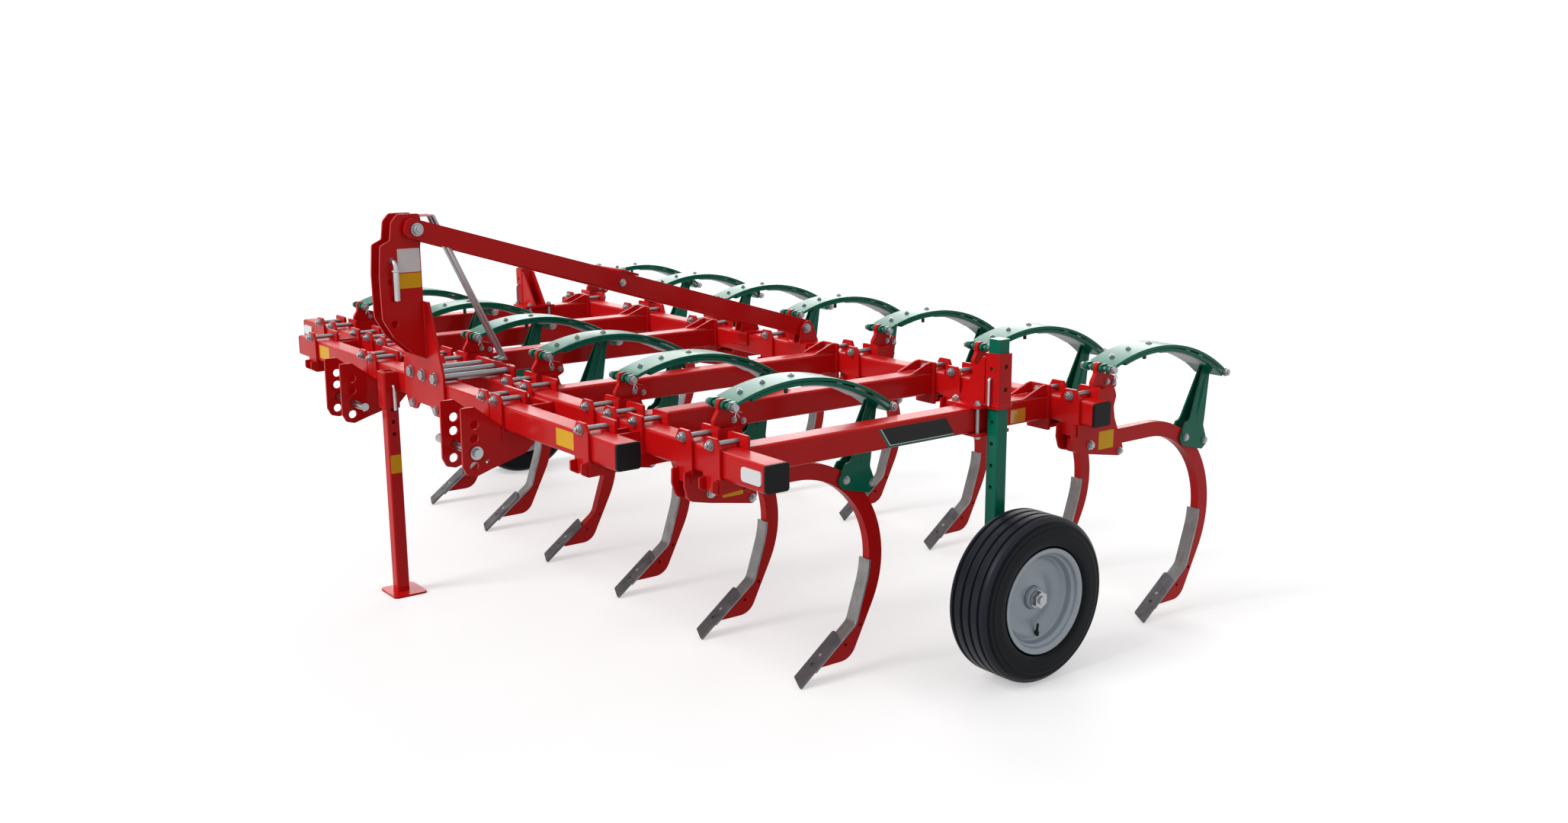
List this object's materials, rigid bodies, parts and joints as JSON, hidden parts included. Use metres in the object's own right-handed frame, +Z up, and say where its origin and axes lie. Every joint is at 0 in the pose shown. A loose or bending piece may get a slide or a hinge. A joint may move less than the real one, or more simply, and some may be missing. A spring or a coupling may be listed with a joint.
{
  "type": "chisel plough",
  "caption": "Mounted chisel plough with three square cross beams, sprung curved tines with narrow shares, a three-point headstock, two depth wheels and a parking stand.",
  "frame": {"origin": "on the ground under the middle of the plan box, with the shares, the stand's foot and the wheels on the ground", "axes": "+Z up, -Y forward to the tractor, +X to the plough's left side"},
  "size_m": [4.5494, 3, 1.784],
  "materials": {
    "red_paint": "gloss red enamel",
    "green_paint": "gloss dark green enamel",
    "wear_steel": "bare forged steel",
    "zinc": "zinc plated",
    "rim_silver": "silver paint",
    "black_cap": "matte black plastic",
    "tyre_rubber": "black ribbed tyre"
  },
  "bodies": {
    "plough_frame": {"beam_end_caps": "black_cap", "clamp_bolts": "zinc", "clamp_plates": "red_paint", "frame_ties": "red_paint", "front_beam": "red_paint", "headstock_bolts": "zinc", "headstock_rear_plate": "red_paint", "hook_bolts": "zinc", "hose_holders": "zinc", "lower_link_brackets": "red_paint", "lower_link_pins": "zinc", "mast_mount_plate": "red_paint", "mast_pin": "zinc", "mast_plates": "red_paint", "middle_beam": "red_paint", "pivot_bolts": "zinc", "rear_beam": "red_paint", "shares": "wear_steel", "side_beam_front_flanges": "red_paint", "side_beam_rear_flanges": "red_paint", "side_beams": "red_paint", "spring_lower_leaves": "green_paint", "spring_pins": "zinc", "spring_upper_leaves": "green_paint", "spring_yokes": "green_paint", "stand_pin": "zinc", "stand_sleeve": "red_paint", "stay_bolts": "zinc", "stay_cross_plate": "red_paint", "stay_saddles": "red_paint", "stays": "red_paint", "stop_bolts": "zinc", "tine_brackets": "red_paint", "tine_shanks": "red_paint", "wear_plates": "wear_steel", "wheel_bracket_bolts": "zinc", "wheel_brackets": "red_paint", "wheel_pins": "zinc", "wheel_under_plates": "red_paint", "yoke_bolts": "zinc"},
    "stand": {"parking_stand": "red_paint"},
    "wheel_post_left": {"wheel_post_left": "green_paint"},
    "wheel_post_right": {"wheel_post_right": "green_paint"},
    "wheel_left": {"wheel_tyre_left": "tyre_rubber", "wheel_rim_left": "rim_silver", "wheel_hub_left": "zinc"},
    "wheel_right": {"wheel_tyre_right": "tyre_rubber", "wheel_rim_right": "rim_silver", "wheel_hub_right": "zinc"}
  },
  "joints": [
    {"name": "stand_slide", "type": "slide", "parent": "plough_frame", "child": "stand", "axis": [0, 0, 1], "range_m": [0, 0.5]},
    {"name": "wheel_post_left_slide", "type": "slide", "parent": "plough_frame", "child": "wheel_post_left", "axis": [0, 0, 1], "range_m": [0, 0.24]},
    {"name": "wheel_post_right_slide", "type": "slide", "parent": "plough_frame", "child": "wheel_post_right", "axis": [0, 0, 1], "range_m": [0, 0.24]},
    {"name": "wheel_left_spin", "type": "hinge", "parent": "wheel_post_left", "child": "wheel_left", "pos_m": [2.165, 0.218, 0.335], "axis": [1, 0, 0], "continuous": true},
    {"name": "wheel_right_spin", "type": "hinge", "parent": "wheel_post_right", "child": "wheel_right", "pos_m": [-2.165, 0.218, 0.335], "axis": [1, 0, 0], "continuous": true}
  ]
}
